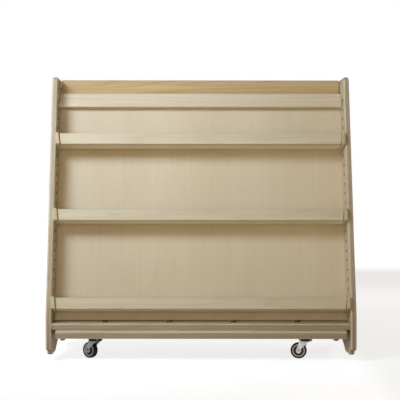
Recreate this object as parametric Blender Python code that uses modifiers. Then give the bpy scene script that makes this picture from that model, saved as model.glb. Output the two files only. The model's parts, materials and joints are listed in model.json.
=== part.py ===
"""Book trolley: a double-sided A-frame of sloping display shelves on four swivel casters.

Metres, +Z up. X runs along the shelves, the front faces -Y, and the origin is on the floor
under the middle. The rear half is the front half turned round the Z axis.
"""
import math

import bmesh
import bpy
from mathutils import Matrix
from mathutils import Vector

# Fits
CLEARANCE = 0.0003
RUNNING_CLEARANCE = 0.0004

# Whole trolley
OVERALL_WIDTH = 0.960
PANEL_HEIGHT = 0.903
BASE_DEPTH = 0.580
TOP_DEPTH = 0.197
KNEE_HEIGHT = 0.146

# Side panels
PANEL_THICKNESS = 0.018
PANEL_EDGE_ROUND = 0.003
TOP_CORNER_RADIUS = 0.022
KNEE_RADIUS = 0.060
FOOT_CORNER_HEIGHT = 0.0385
FOOT_HEIGHT = 0.021
FOOT_SETBACK = 0.045
FOOT_LENGTH = 0.093
FOOT_RADIUS = 0.004
ARCH_RISE = 0.035
ARCH_POINTS = 8

# Hand holes in the side panels, two to a panel
HAND_HOLE_LENGTH = 0.046
HAND_HOLE_HEIGHT = 0.022
HAND_HOLE_INSET = 0.045
HAND_HOLE_RISE = 0.006

# Rows of holes for the shelf pegs
PIN_HOLE_DIAMETER = 0.009
PIN_HOLE_DEPTH = 0.012
PIN_HOLE_INSET = 0.048
PIN_HOLE_PITCH = 0.0312
PIN_HOLE_ABOVE_BASE = 0.0288
PIN_HOLE_MARGIN = 0.006

# Ridge, rails and display panels
RIDGE_THICKNESS = 0.018
RIDGE_HEIGHT = 0.115
RIDGE_TOP_DROP = 0.002
RIDGE_END_GAP = 0.0006
RIDGE_RAIL_GAP = 0.0027
RIDGE_TENON_DIAMETER = 0.010
RIDGE_TENON_DEPTH = 0.010
RIDGE_TENON_SHARES = (0.25, 0.75)
BORE_SPARE_DEPTH = 0.0005
DISPLAY_THICKNESS = 0.006
DISPLAY_OFFSET = 0.098
TOP_RAIL_HEIGHT = 0.047
TOP_RAIL_THICKNESS = 0.028
TOP_RAIL_LEAST_DROP = 0.012
CLEAT_SIZE = 0.024

# Base board and the boards that carry the casters
BASE_THICKNESS = 0.0195
BASE_SETBACK = 0.004
CASTER_BOARD_SETBACK = 0.003
CASTER_BOARD_DEPTH = 0.165
CASTER_BOARD_END_GAP = 0.012
CASTER_BOARD_THICKNESS = 0.0281
CASTER_BOARD_ROUND = 0.006
BOARD_ROUND = 0.003

# Shelves, each with its share of the way up the row of holes
SHELF_SHARES = {"low": 0.0, "middle": 0.43, "top": 0.81}
SHELF_BOARD_THICKNESS = 0.006
SHELF_NOSE_DEPTH = 0.052
SHELF_NOSE_THICKNESS = 0.020
LIP_HEIGHT = 0.0357
LIP_THICKNESS = 0.014
LIP_PROUD = 0.012
CHEEK_TOP_THICKNESS = 0.0085
CHEEK_TAPER = 0.14
CHEEK_PROUD = 0.017
CHEEK_ABOVE_LIP = 0.0045
CHEEK_BEHIND_PEG = 0.010
CHEEK_CORNER_RADIUS = 0.010
CHEEK_FOOT_RADIUS = 0.004
SHELF_ROUND = 0.0015
PEG_ABOVE_LIP_FOOT = 0.0097
PEG_DIAMETER = 0.008
PEG_LENGTH = 0.0105

# Casters
CASTER_PLACES_X = {"front": 0.334, "rear": 0.362}
CASTER_PLACE_INSET = 0.122
CASTER_TRAILS = {"front_left": 143.0, "front_right": 172.0, "rear_left": 90.0, "rear_right": 90.0}
WHEEL_DIAMETER = 0.052
WHEEL_WIDTH = 0.018
RIM_DIAMETER = 0.037
RIM_WIDTH = 0.016
RIM_THICKNESS = 0.003
HUB_DIAMETER = 0.014
WEB_WIDTH = 0.008
TYRE_ROUND = 0.004
TRAIL = 0.022
PLATE_SIZE = 0.056
PLATE_THICKNESS = 0.0025
PLATE_CORNER_RADIUS = 0.006
RACE_DIAMETER = 0.044
RACE_HEIGHT = 0.0067
RACE_WAIST = 0.036
SWIVEL_GAP = 0.0006
KINGPIN_DIAMETER = 0.008
KINGPIN_HEAD_DIAMETER = 0.013
KINGPIN_HEAD_HEIGHT = 0.0018
FORK_THICKNESS = 0.0025
FORK_SIDE_CLEARANCE = 0.002
FORK_CROWN_LENGTH = 0.036
FORK_OVER_WHEEL = 0.0125
FORK_EDGE_ROUND = 0.0015
FORK_BOSS_RADIUS = 0.008
AXLE_DIAMETER = 0.006
AXLE_HEAD_DIAMETER = 0.011
AXLE_HEAD_HEIGHT = 0.0035

# Facets round a turn
WHEEL_FACETS = 24
RACE_FACETS = 20
SMALL_FACETS = 10
HOLE_FACETS = 8
FILLET_STEPS = 4

# Sizes that follow from those above
INNER_X = OVERALL_WIDTH / 2 - PANEL_THICKNESS
HALF_DEPTH = BASE_DEPTH / 2
LEAN = math.atan2((BASE_DEPTH - TOP_DEPTH) / 2, PANEL_HEIGHT - KNEE_HEIGHT)
SIN_LEAN = math.sin(LEAN)
COS_LEAN = math.cos(LEAN)
SLOPE_LENGTH = (PANEL_HEIGHT - KNEE_HEIGHT) / COS_LEAN
BOARD_LENGTH = 2 * (INNER_X - CLEARANCE)
DISPLAY_BACK = DISPLAY_OFFSET + DISPLAY_THICKNESS
TOP_RAIL_BACK = DISPLAY_OFFSET - CLEARANCE

FORK_CROWN_TOP = WHEEL_DIAMETER + FORK_OVER_WHEEL
RACE_BOTTOM = FORK_CROWN_TOP + SWIVEL_GAP
PLATE_UNDERSIDE = RACE_BOTTOM + RACE_HEIGHT
PLATE_TOP = PLATE_UNDERSIDE + PLATE_THICKNESS
CASTER_BOARD_UNDERSIDE = PLATE_TOP + CLEARANCE
CASTER_BOARD_TOP = CASTER_BOARD_UNDERSIDE + CASTER_BOARD_THICKNESS
BASE_UNDERSIDE = CASTER_BOARD_TOP + CLEARANCE
BASE_TOP = BASE_UNDERSIDE + BASE_THICKNESS
CASTER_PLACE_Y = HALF_DEPTH - CASTER_PLACE_INSET
FORK_INSIDE = WHEEL_WIDTH / 2 + FORK_SIDE_CLEARANCE
FORK_OUTSIDE = FORK_INSIDE + FORK_THICKNESS
AXLE_PLACE = (TRAIL, 0.0, WHEEL_DIAMETER / 2)


def slope_at_ridge(back):
    """Distance up the slope at which a depth behind the front edge reaches the ridge board."""
    reach = HALF_DEPTH - RIDGE_THICKNESS / 2 - RIDGE_RAIL_GAP
    return (reach - back * COS_LEAN) / SIN_LEAN


def slope_on_base(back):
    """Distance up the slope at which a depth behind the front edge rests on the base board."""
    return (BASE_TOP + CLEARANCE - KNEE_HEIGHT + back * SIN_LEAN) / COS_LEAN


def slope_to_world(back, up):
    """World y and z, on the front half, of a point in the slope's own frame."""
    y = -HALF_DEPTH + up * SIN_LEAN + back * COS_LEAN
    z = KNEE_HEIGHT + up * COS_LEAN - back * SIN_LEAN
    return y, z


TOP_RAIL_TOP = min(slope_at_ridge(TOP_RAIL_BACK), SLOPE_LENGTH - TOP_RAIL_LEAST_DROP)
TOP_RAIL_BOTTOM = TOP_RAIL_TOP - TOP_RAIL_HEIGHT
DISPLAY_TOP = min(slope_at_ridge(DISPLAY_BACK), TOP_RAIL_TOP)
DISPLAY_BOTTOM = slope_on_base(DISPLAY_BACK)
HAND_HOLE_UP = TOP_RAIL_BOTTOM + HAND_HOLE_RISE
PIN_HOLE_FIRST = slope_on_base(DISPLAY_OFFSET) + PIN_HOLE_ABOVE_BASE
PIN_HOLE_LAST = HAND_HOLE_UP - HAND_HOLE_HEIGHT / 2 - PIN_HOLE_DIAMETER / 2 - PIN_HOLE_MARGIN
PIN_HOLE_COUNT = 1 + int((PIN_HOLE_LAST - PIN_HOLE_FIRST) / PIN_HOLE_PITCH)


def remove_old_objects():
    for old in list(bpy.data.objects):
        bpy.data.objects.remove(old, do_unlink=True)


def new_collection(name):
    collection = bpy.data.collections.new(name)
    bpy.context.scene.collection.children.link(collection)
    return collection


def new_material(name, colour, roughness, metallic=0.0):
    material = bpy.data.materials.new(name)
    material.use_nodes = True
    shader = material.node_tree.nodes["Principled BSDF"]
    shader.inputs["Base Color"].default_value = (*colour, 1.0)
    shader.inputs["Roughness"].default_value = roughness
    shader.inputs["Metallic"].default_value = metallic
    material.diffuse_color = (*colour, 1.0)
    return material


def new_empty(name, location=(0, 0, 0), rotation=(0, 0, 0), parent=None):
    empty = bpy.data.objects.new(name, None)
    empty.location = location
    empty.rotation_euler = rotation
    empty.parent = parent
    empty.empty_display_size = 0.05
    PARTS.objects.link(empty)
    return empty


def place(name, mesh, material=None, parent=None, location=(0, 0, 0), rotation=(0, 0, 0)):
    """A part when it has a material, otherwise a cutter."""
    obj = bpy.data.objects.new(name, mesh)
    obj.location = location
    obj.rotation_euler = rotation
    obj.parent = parent
    if material is None:
        CUTTERS.objects.link(obj)
        obj.hide_render = True
        obj.display_type = "WIRE"
    else:
        PARTS.objects.link(obj)
        mesh.materials.clear()
        mesh.materials.append(material)
    return obj


def mesh_from(name, bm):
    mesh = bpy.data.meshes.new(name)
    bm.to_mesh(mesh)
    bm.free()
    return mesh


def box_mesh(name, low, high):
    bm = bmesh.new()
    bmesh.ops.create_cube(bm, size=1.0)
    size = [b - a for a, b in zip(low, high)]
    middle = [(a + b) / 2 for a, b in zip(low, high)]
    bmesh.ops.scale(bm, vec=size, verts=bm.verts)
    bmesh.ops.translate(bm, vec=middle, verts=bm.verts)
    return mesh_from(name, bm)


def rod_mesh(name, rods, facets):
    """Cylinders along X, each given as its two end x values, its y and z, and its radius."""
    bm = bmesh.new()
    for start, stop, y, z, radius in rods:
        turn = Matrix.Translation(((start + stop) / 2, y, z)) @ Matrix.Rotation(math.pi / 2, 4, "Y")
        bmesh.ops.create_cone(
            bm, cap_ends=True, segments=facets, radius1=radius, radius2=radius,
            depth=abs(stop - start), matrix=turn)
    return mesh_from(name, bm)


def evaluated_mesh(obj, matrix=None):
    """A welded mesh of an object as it is evaluated, which replaces the object."""
    bpy.context.view_layer.update()
    graph = bpy.context.evaluated_depsgraph_get()
    mesh = bpy.data.meshes.new_from_object(obj.evaluated_get(graph))
    bm = bmesh.new()
    bm.from_mesh(mesh)
    bmesh.ops.remove_doubles(bm, verts=bm.verts, dist=0.00001)
    bmesh.ops.dissolve_limit(bm, angle_limit=0.001, verts=bm.verts, edges=bm.edges)
    if matrix is not None:
        bmesh.ops.transform(bm, matrix=matrix, verts=bm.verts)
    bm.to_mesh(mesh)
    bm.free()
    bpy.data.objects.remove(obj, do_unlink=True)
    return mesh


def outline_mesh(name, points, thickness, matrix):
    """A flat outline given a thickness, turned from its own XY plane by a matrix."""
    curve = bpy.data.curves.new(name, "CURVE")
    curve.dimensions = "2D"
    curve.fill_mode = "BOTH"
    curve.extrude = thickness / 2
    spline = curve.splines.new("POLY")
    spline.points.add(len(points) - 1)
    for slot, (u, v) in zip(spline.points, points):
        slot.co = (u, v, 0.0, 1.0)
    spline.use_cyclic_u = True
    return evaluated_mesh(place(name + "_outline", curve), matrix)


def turned_mesh(name, profile, facets):
    """A profile of radius and height pairs, listed down its outer side, turned round Z."""
    mesh = bpy.data.meshes.new(name)
    points = [(radius, 0.0, height) for radius, height in profile]
    edges = [(i, i + 1) for i in range(len(points) - 1)]
    if profile[0][0] > 0.0:
        edges.append((len(points) - 1, 0))
    mesh.from_pydata(points, edges, [])
    obj = place(name + "_profile", mesh)
    screw = obj.modifiers.new("turn", "SCREW")
    screw.steps = facets
    screw.render_steps = facets
    screw.use_merge_vertices = True
    screw.merge_threshold = 0.00001
    return evaluated_mesh(obj)


def shade_round(mesh, angle=math.radians(35)):
    mesh.shade_smooth()
    mesh.set_sharp_from_angle(angle=angle)


def round_edges(obj, width, segments=1, angle=math.radians(50)):
    bevel = obj.modifiers.new("rounded_edges", "BEVEL")
    bevel.width = width
    bevel.segments = segments
    bevel.limit_method = "ANGLE"
    bevel.angle_limit = angle


def cut(obj, cutter, operation="DIFFERENCE"):
    boolean = obj.modifiers.new(cutter.name, "BOOLEAN")
    boolean.operation = operation
    boolean.object = cutter
    boolean.solver = "EXACT"


def cut_all(obj, cutters):
    """Takes every cutter of a collection out of an object in one step."""
    boolean = obj.modifiers.new(cutters.name, "BOOLEAN")
    boolean.operation = "DIFFERENCE"
    boolean.operand_type = "COLLECTION"
    boolean.collection = cutters
    boolean.solver = "EXACT"


def filleted(corners):
    """An outline whose corners, given as a point and a radius, are turned into arcs."""
    points = []
    count = len(corners)
    for index, (corner, radius) in enumerate(corners):
        here = Vector(corner)
        if radius == 0.0:
            points.append(here)
            continue
        before = (Vector(corners[index - 1][0]) - here).normalized()
        after = (Vector(corners[(index + 1) % count][0]) - here).normalized()
        half = before.angle(after) / 2
        centre = here + (before + after).normalized() * (radius / math.sin(half))
        start = here + before * (radius / math.tan(half)) - centre
        sweep = start.angle_signed(here + after * (radius / math.tan(half)) - centre)
        for step in range(FILLET_STEPS + 1):
            turned = start.copy()
            turned.rotate(Matrix.Rotation(-sweep * step / FILLET_STEPS, 2))
            points.append(centre + turned)
    return points


def side_panel_outline():
    """The side panel's edge in depth and height, with two stepped feet and an arch between them."""
    heel = -HALF_DEPTH + FOOT_SETBACK
    arch_start = heel + FOOT_LENGTH
    front = [
        ((-TOP_DEPTH / 2, PANEL_HEIGHT), TOP_CORNER_RADIUS),
        ((-HALF_DEPTH, KNEE_HEIGHT), KNEE_RADIUS),
        ((-HALF_DEPTH, FOOT_CORNER_HEIGHT), FOOT_RADIUS),
        ((heel, FOOT_CORNER_HEIGHT), FOOT_RADIUS),
        ((heel, FOOT_HEIGHT), FOOT_RADIUS),
    ]
    for step in range(ARCH_POINTS):
        share = step / ARCH_POINTS
        rise = ARCH_RISE * (1 - (1 - share) ** 2)
        front.append(((arch_start * (1 - share), FOOT_HEIGHT + rise), 0.0))
    rear = [((-point[0], point[1]), radius) for point, radius in reversed(front)]
    crown = [((0.0, FOOT_HEIGHT + ARCH_RISE), 0.0)]
    return filleted(front + crown + rear)


def oblong_outline(length, height):
    """A slot with round ends, long in its first direction."""
    radius = height / 2
    reach = (length - height) / 2
    points = []
    for step in range(2 * HOLE_FACETS):
        angle = -math.pi / 2 + math.pi * step / (HOLE_FACETS - 1)
        end = reach
        if step >= HOLE_FACETS:
            angle = math.pi / 2 + math.pi * (step - HOLE_FACETS) / (HOLE_FACETS - 1)
            end = -reach
        points.append((end + radius * math.cos(angle), radius * math.sin(angle)))
    return points


# An outline's own X and Y become the trolley's Y and Z, and its thickness lies along X
DEPTH_AND_HEIGHT = Matrix(((0, 0, 1, 0), (1, 0, 0, 0), (0, 1, 0, 0), (0, 0, 0, 1)))


def pin_hole_up(index):
    return PIN_HOLE_FIRST + index * PIN_HOLE_PITCH


def ridge_tenon_rods(end_radius, end_x):
    """The round tenons that carry the ridge board, from inside the board out to an x value."""
    rods = []
    ridge_top = PANEL_HEIGHT - RIDGE_TOP_DROP
    for side in (-1, 1):
        for share in RIDGE_TENON_SHARES:
            root = INNER_X - RIDGE_END_GAP - RIDGE_TENON_DEPTH
            rods.append((side * root, side * end_x, 0.0, ridge_top - share * RIDGE_HEIGHT, end_radius))
    return rods


def pin_hole_rods():
    """The blind holes of both panels, two sloping rows to a panel."""
    rods = []
    for side in (-1, 1):
        for facing in (1, -1):
            for index in range(PIN_HOLE_COUNT):
                y, z = slope_to_world(PIN_HOLE_INSET, pin_hole_up(index))
                start = side * (INNER_X - PIN_HOLE_DEPTH)
                stop = side * (INNER_X + PIN_HOLE_DEPTH)
                rods.append((start, stop, facing * y, z, PIN_HOLE_DIAMETER / 2))
    return rods


def make_side_panels():
    pin_holes = place("pin_holes", rod_mesh("pin_holes", pin_hole_rods(), HOLE_FACETS))
    bore_end = INNER_X + RIDGE_TENON_DEPTH + BORE_SPARE_DEPTH
    bore_rods = ridge_tenon_rods(RIDGE_TENON_DIAMETER / 2 + CLEARANCE, bore_end)
    ridge_bores = place("ridge_bores", rod_mesh("ridge_bores", bore_rods, SMALL_FACETS))
    slot = oblong_outline(HAND_HOLE_LENGTH, HAND_HOLE_HEIGHT)
    hand_holes = []
    for half_name, slope in SLOPES.items():
        mesh = outline_mesh("hand_hole", slot, 2 * OVERALL_WIDTH, DEPTH_AND_HEIGHT)
        place_in_slope = (0.0, HAND_HOLE_INSET, HAND_HOLE_UP)
        hand_holes.append(place(half_name + "_hand_hole", mesh, parent=slope, location=place_in_slope))
    cutters = new_collection("side_panel_cutters")
    for cutter in hand_holes + [pin_holes, ridge_bores]:
        cutters.objects.link(cutter)
    shape = side_panel_outline()
    for side, name in ((-1, "left_side_panel"), (1, "right_side_panel")):
        mesh = outline_mesh(name, shape, PANEL_THICKNESS, DEPTH_AND_HEIGHT)
        panel = place(name, mesh, PANEL_WOOD, location=(side * (INNER_X + PANEL_THICKNESS / 2), 0, 0))
        round_edges(panel, PANEL_EDGE_ROUND, segments=2)
        cut_all(panel, cutters)


def make_board(name, low, high, material, parent=None, rounding=BOARD_ROUND):
    """A plain board between two corners, with its edges rounded."""
    board = place(name, box_mesh(name, low, high), material, parent)
    round_edges(board, rounding)
    return board


def make_ridge_board():
    """The upright board along the top, carried by round tenons across the gaps at its ends."""
    reach = INNER_X - RIDGE_END_GAP
    top = PANEL_HEIGHT - RIDGE_TOP_DROP
    half = RIDGE_THICKNESS / 2
    ridge = make_board("ridge_board", (-reach, -half, top - RIDGE_HEIGHT), (reach, half, top), RIDGE_WOOD)
    rods = ridge_tenon_rods(RIDGE_TENON_DIAMETER / 2, INNER_X + RIDGE_TENON_DEPTH)
    cut(ridge, place("ridge_tenons", rod_mesh("ridge_tenons", rods, SMALL_FACETS)), "UNION")


def make_base_boards():
    reach = BOARD_LENGTH / 2
    base_front = HALF_DEPTH - BASE_SETBACK
    make_board("base_board", (-reach, -base_front, BASE_UNDERSIDE), (reach, base_front, BASE_TOP), RAIL_WOOD)
    caster_reach = INNER_X - CASTER_BOARD_END_GAP
    front = -HALF_DEPTH + CASTER_BOARD_SETBACK
    for half_name, half in HALVES:
        make_board(half_name + "_caster_board", (-caster_reach, front, CASTER_BOARD_UNDERSIDE),
                   (caster_reach, front + CASTER_BOARD_DEPTH, CASTER_BOARD_TOP), RAIL_WOOD, half,
                   CASTER_BOARD_ROUND)


def make_display(half_name, slope):
    """The leaning display panel, the rail across its head and the cleat behind its foot."""
    reach = BOARD_LENGTH / 2
    place(half_name + "_display_panel", box_mesh(
        "display_panel", (-reach, DISPLAY_OFFSET, DISPLAY_BOTTOM), (reach, DISPLAY_BACK, DISPLAY_TOP)),
        DISPLAY_WOOD, slope)
    make_board(half_name + "_top_rail",
               (-reach, TOP_RAIL_BACK - TOP_RAIL_THICKNESS, TOP_RAIL_BOTTOM),
               (reach, TOP_RAIL_BACK, TOP_RAIL_TOP), RAIL_WOOD, slope)
    cleat_front = DISPLAY_BACK + CLEARANCE
    cleat_back = cleat_front + CLEAT_SIZE
    cleat_low = slope_on_base(cleat_back)
    make_board(half_name + "_display_cleat", (-reach, cleat_front, cleat_low),
               (reach, cleat_back, cleat_low + CLEAT_SIZE), RAIL_WOOD, slope)


def bore_profile(diameter, length):
    """A bore round a shaft, as deep above its seat as below it."""
    radius = diameter / 2 + CLEARANCE
    return [(0.0, length), (radius, length), (radius, -length), (0.0, -length)]


def cheek_outline(foot, board_underside, cheek_top):
    """A cheek's side: flat under the nose and the peg, then rising to the thin board's underside."""
    back = DISPLAY_OFFSET - CLEARANCE
    return filleted([
        ((-CHEEK_PROUD, cheek_top), CHEEK_CORNER_RADIUS),
        ((-CHEEK_PROUD, foot), CHEEK_FOOT_RADIUS),
        ((PIN_HOLE_INSET + CHEEK_BEHIND_PEG, foot), CHEEK_FOOT_RADIUS),
        ((back, board_underside), CHEEK_FOOT_RADIUS),
        ((back, cheek_top), CHEEK_FOOT_RADIUS),
    ])


def taper_mesh(mesh, reach_at):
    """Moves each end of a mesh along X to the reach that belongs to its height."""
    for vertex in mesh.vertices:
        vertex.co.x = math.copysign(reach_at(vertex.co.z), vertex.co.x)


def make_shelf(prefix, slope, hole_index):
    """One tilted shelf: a thin board with a thick nose, a lip, and a wedge-shaped cheek at each end."""
    peg_up = pin_hole_up(hole_index)
    foot = peg_up - PEG_ABOVE_LIP_FOOT
    board_top = foot + SHELF_NOSE_THICKNESS
    board_underside = board_top - SHELF_BOARD_THICKNESS
    lip_top = foot + LIP_HEIGHT
    lip_back = LIP_THICKNESS - LIP_PROUD
    nose_back = SHELF_NOSE_DEPTH - LIP_PROUD
    back = DISPLAY_OFFSET - CLEARANCE
    cheek_top = lip_top + CHEEK_ABOVE_LIP
    cheek_outside = INNER_X - CLEARANCE

    def cheek_inside(up):
        return cheek_outside - CHEEK_TOP_THICKNESS - CHEEK_TAPER * (cheek_top - up)

    def shelf_reach(up):
        return cheek_inside(up) - CLEARANCE

    section = [(lip_back + CLEARANCE, board_top), (lip_back + CLEARANCE, foot), (nose_back, foot),
               (nose_back, board_underside), (back, board_underside), (back, board_top)]
    name = prefix + "_shelf_board"
    mesh = outline_mesh(name, section, 1.0, DEPTH_AND_HEIGHT)
    taper_mesh(mesh, shelf_reach)
    round_edges(place(name, mesh, SHELF_WOOD, slope), SHELF_ROUND)

    name = prefix + "_shelf_lip"
    mesh = box_mesh(name, (-1, -LIP_PROUD, foot), (1, lip_back, lip_top))
    taper_mesh(mesh, shelf_reach)
    round_edges(place(name, mesh, LIP_WOOD, slope), SHELF_ROUND)

    outline = cheek_outline(foot, board_underside, cheek_top)
    for side, side_name in ((-1, "left"), (1, "right")):
        name = prefix + "_" + side_name + "_cheek"
        mesh = outline_mesh(name, outline, 1.0, DEPTH_AND_HEIGHT)
        for vertex in mesh.vertices:
            outside = vertex.co.x * side > 0.0
            vertex.co.x = side * (cheek_outside if outside else cheek_inside(vertex.co.z))
        cheek = place(name, mesh, LIP_WOOD, slope)
        round_edges(cheek, SHELF_ROUND)
        root = side * (cheek_outside - CHEEK_TOP_THICKNESS / 2)
        rod = (root, side * (INNER_X + PEG_LENGTH), PIN_HOLE_INSET, peg_up, PEG_DIAMETER / 2)
        peg = place(name + "_peg", rod_mesh("peg", [rod], HOLE_FACETS), parent=slope)
        cut(cheek, peg, "UNION")


def rounded_square(size, radius):
    half = size / 2
    corners = [(half, half), (-half, half), (-half, -half), (half, -half)]
    return filleted([(corner, radius) for corner in corners])


def fork_outline():
    """The fork's side: a flat crown that narrows to a round boss at the axle."""
    crown_back = -FORK_CROWN_LENGTH / 2
    crown_front = FORK_CROWN_LENGTH / 2
    axle = (TRAIL, WHEEL_DIAMETER / 2)
    shoulder = FORK_CROWN_TOP - 2 * FORK_THICKNESS
    above = FORK_CROWN_TOP + FORK_THICKNESS
    points = [(crown_back, shoulder), (crown_back, above), (crown_front, above), (crown_front, shoulder)]
    for step in range(SMALL_FACETS):
        angle = math.radians(10 - 220 * step / (SMALL_FACETS - 1))
        points.append((axle[0] + FORK_BOSS_RADIUS * math.cos(angle),
                       axle[1] + FORK_BOSS_RADIUS * math.sin(angle)))
    return points


def caster_places():
    """Each caster's name, its swivel axis on the floor and the angle at which its wheel trails."""
    places = []
    for name, trail in CASTER_TRAILS.items():
        half_name, side_name = name.split("_")
        x = CASTER_PLACES_X[half_name] * (1 if side_name == "right" else -1)
        y = CASTER_PLACE_Y * (1 if half_name == "rear" else -1)
        places.append((name + "_caster", (x, y, 0.0), math.radians(trail)))
    return places


def make_caster_plate(name, location):
    """The fixed plate with its race, and the kingpin that holds the fork up."""
    kingpin = KINGPIN_DIAMETER / 2
    kingpin_head = KINGPIN_HEAD_DIAMETER / 2
    head_top = FORK_CROWN_TOP - FORK_THICKNESS - RUNNING_CLEARANCE
    head_bottom = head_top - KINGPIN_HEAD_HEIGHT
    race_top = PLATE_UNDERSIDE + PLATE_THICKNESS / 2
    race_profile = [
        (0.0, race_top), (RACE_DIAMETER / 2, race_top), (RACE_DIAMETER / 2, RACE_BOTTOM + RACE_HEIGHT / 2),
        (RACE_WAIST / 2, RACE_BOTTOM), (kingpin, RACE_BOTTOM), (kingpin, head_top),
        (kingpin_head, head_top), (kingpin_head, head_bottom), (0.0, head_bottom)]
    flat = Matrix.Translation((0, 0, PLATE_TOP - PLATE_THICKNESS / 2))
    mesh = outline_mesh(name, rounded_square(PLATE_SIZE, PLATE_CORNER_RADIUS), PLATE_THICKNESS, flat)
    plate = place(name, mesh, ZINC, location=location)
    race = place(name + "_race", turned_mesh("race", race_profile, RACE_FACETS), location=location)
    cut(plate, race, "UNION")


def make_fork(name, swivel):
    """A pressed fork: a bar of U section, cut to its side outline and bored for kingpin and axle."""
    reach = FORK_CROWN_LENGTH + TRAIL
    crown_under = FORK_CROWN_TOP - FORK_THICKNESS
    fork = place(name, box_mesh(name, (-reach, -FORK_OUTSIDE, -WHEEL_DIAMETER),
                                (reach, FORK_OUTSIDE, FORK_CROWN_TOP)), ZINC, swivel)
    round_edges(fork, FORK_EDGE_ROUND)
    inside = box_mesh("fork_inside", (-2 * reach, -FORK_INSIDE, -2 * WHEEL_DIAMETER),
                      (2 * reach, FORK_INSIDE, crown_under))
    cut(fork, place(name + "_inside", inside, parent=swivel))
    upright = Matrix.Rotation(math.pi / 2, 4, "X")
    side = outline_mesh("fork_side", fork_outline(), 4 * FORK_OUTSIDE, upright)
    cut(fork, place(name + "_side", side, parent=swivel), "INTERSECT")
    pin_bore = turned_mesh("kingpin_bore", bore_profile(KINGPIN_DIAMETER, WHEEL_DIAMETER), SMALL_FACETS)
    cut(fork, place(name + "_kingpin_bore", pin_bore, parent=swivel, location=(0, 0, FORK_CROWN_TOP)))
    axle_bore = turned_mesh("axle_bore", bore_profile(AXLE_DIAMETER, 2 * FORK_OUTSIDE), SMALL_FACETS)
    cut(fork, place(name + "_axle_bore", axle_bore, parent=swivel, location=AXLE_PLACE,
                    rotation=(math.pi / 2, 0, 0)))


def make_axle(name, axle):
    shaft = AXLE_DIAMETER / 2
    head = AXLE_HEAD_DIAMETER / 2
    seat = FORK_OUTSIDE + CLEARANCE
    end = seat + AXLE_HEAD_HEIGHT
    mesh = turned_mesh(name, [(0.0, end), (head, end), (head, seat), (shaft, seat), (shaft, -seat),
                              (head, -seat), (head, -end), (0.0, -end)], SMALL_FACETS)
    shade_round(mesh)
    place(name, mesh, STEEL, axle)


def make_wheel(name, axle):
    """The wheel's rim, web and hub with its bore, and the tyre round it."""
    bore = AXLE_DIAMETER / 2 + RUNNING_CLEARANCE
    hub = HUB_DIAMETER / 2
    hub_end = FORK_INSIDE - RUNNING_CLEARANCE
    rim = RIM_DIAMETER / 2
    rim_inside = rim - RIM_THICKNESS
    rim_end = RIM_WIDTH / 2
    web = WEB_WIDTH / 2
    upper = [(bore, hub_end), (hub, hub_end), (hub, web), (rim_inside, web), (rim_inside, rim_end),
             (rim, rim_end)]
    lower = [(radius, -height) for radius, height in reversed(upper)]
    mesh = turned_mesh(name + "_wheel", upper + lower, WHEEL_FACETS)
    shade_round(mesh)
    place(name + "_wheel", mesh, WHEEL_GREY, axle)

    seat = rim + CLEARANCE
    tread = WHEEL_DIAMETER / 2
    side = WHEEL_WIDTH / 2
    upper = [(seat, side), (tread - TYRE_ROUND, side), (tread - TYRE_ROUND / 4, side - TYRE_ROUND / 2),
             (tread, side - 1.5 * TYRE_ROUND)]
    lower = [(radius, -height) for radius, height in reversed(upper)]
    mesh = turned_mesh(name + "_tyre", upper + lower, WHEEL_FACETS)
    shade_round(mesh)
    place(name + "_tyre", mesh, RUBBER, axle)


def make_casters():
    for name, location, trail in caster_places():
        make_caster_plate(name + "_plate", location)
        swivel = new_empty(name + "_swivel_axis", location, (0, 0, trail))
        axle = new_empty(name + "_axle_axis", AXLE_PLACE, (math.pi / 2, 0, 0), swivel)
        make_fork(name + "_fork", swivel)
        make_axle(name + "_axle", axle)
        make_wheel(name, axle)


remove_old_objects()
PARTS = new_collection("book_trolley")
CUTTERS = new_collection("cutters")

PANEL_WOOD = new_material("panel_wood", (0.62, 0.54, 0.40), 0.45)
RAIL_WOOD = new_material("rail_wood", (0.64, 0.55, 0.40), 0.45)
LIP_WOOD = new_material("lip_wood", (0.66, 0.58, 0.43), 0.45)
SHELF_WOOD = new_material("shelf_wood", (0.60, 0.51, 0.36), 0.50)
DISPLAY_WOOD = new_material("display_wood", (0.66, 0.57, 0.43), 0.50)
RIDGE_WOOD = new_material("ridge_wood", (0.60, 0.46, 0.25), 0.45)
ZINC = new_material("zinc_plate", (0.62, 0.62, 0.60), 0.32, 1.0)
STEEL = new_material("bright_steel", (0.66, 0.66, 0.66), 0.28, 1.0)
WHEEL_GREY = new_material("wheel_grey", (0.30, 0.30, 0.31), 0.50)
RUBBER = new_material("tyre_rubber", (0.018, 0.018, 0.019), 0.65)

HALVES = [("front", new_empty("front_half")), ("rear", new_empty("rear_half", rotation=(0, 0, math.pi)))]
SLOPES = {}
for half_name, half in HALVES:
    SLOPES[half_name] = new_empty(half_name + "_slope", (0, -HALF_DEPTH, KNEE_HEIGHT), (-LEAN, 0, 0), half)
bpy.context.view_layer.update()

make_side_panels()
make_ridge_board()
make_base_boards()
for half_name, slope in SLOPES.items():
    make_display(half_name, slope)
    for shelf_name, share in SHELF_SHARES.items():
        make_shelf(half_name + "_" + shelf_name, slope, round(share * (PIN_HOLE_COUNT - 1)))
make_casters()
bpy.context.view_layer.update()
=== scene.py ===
"""The looks of the book trolley: pale maple boards, zinc casters and bronze bolt heads.

Metres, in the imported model's own frame: +Z up, the front faces -Y, the origin on the floor.
"""
import json
import math

import bmesh
import bpy
from mathutils import Matrix
from mathutils import Vector


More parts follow.
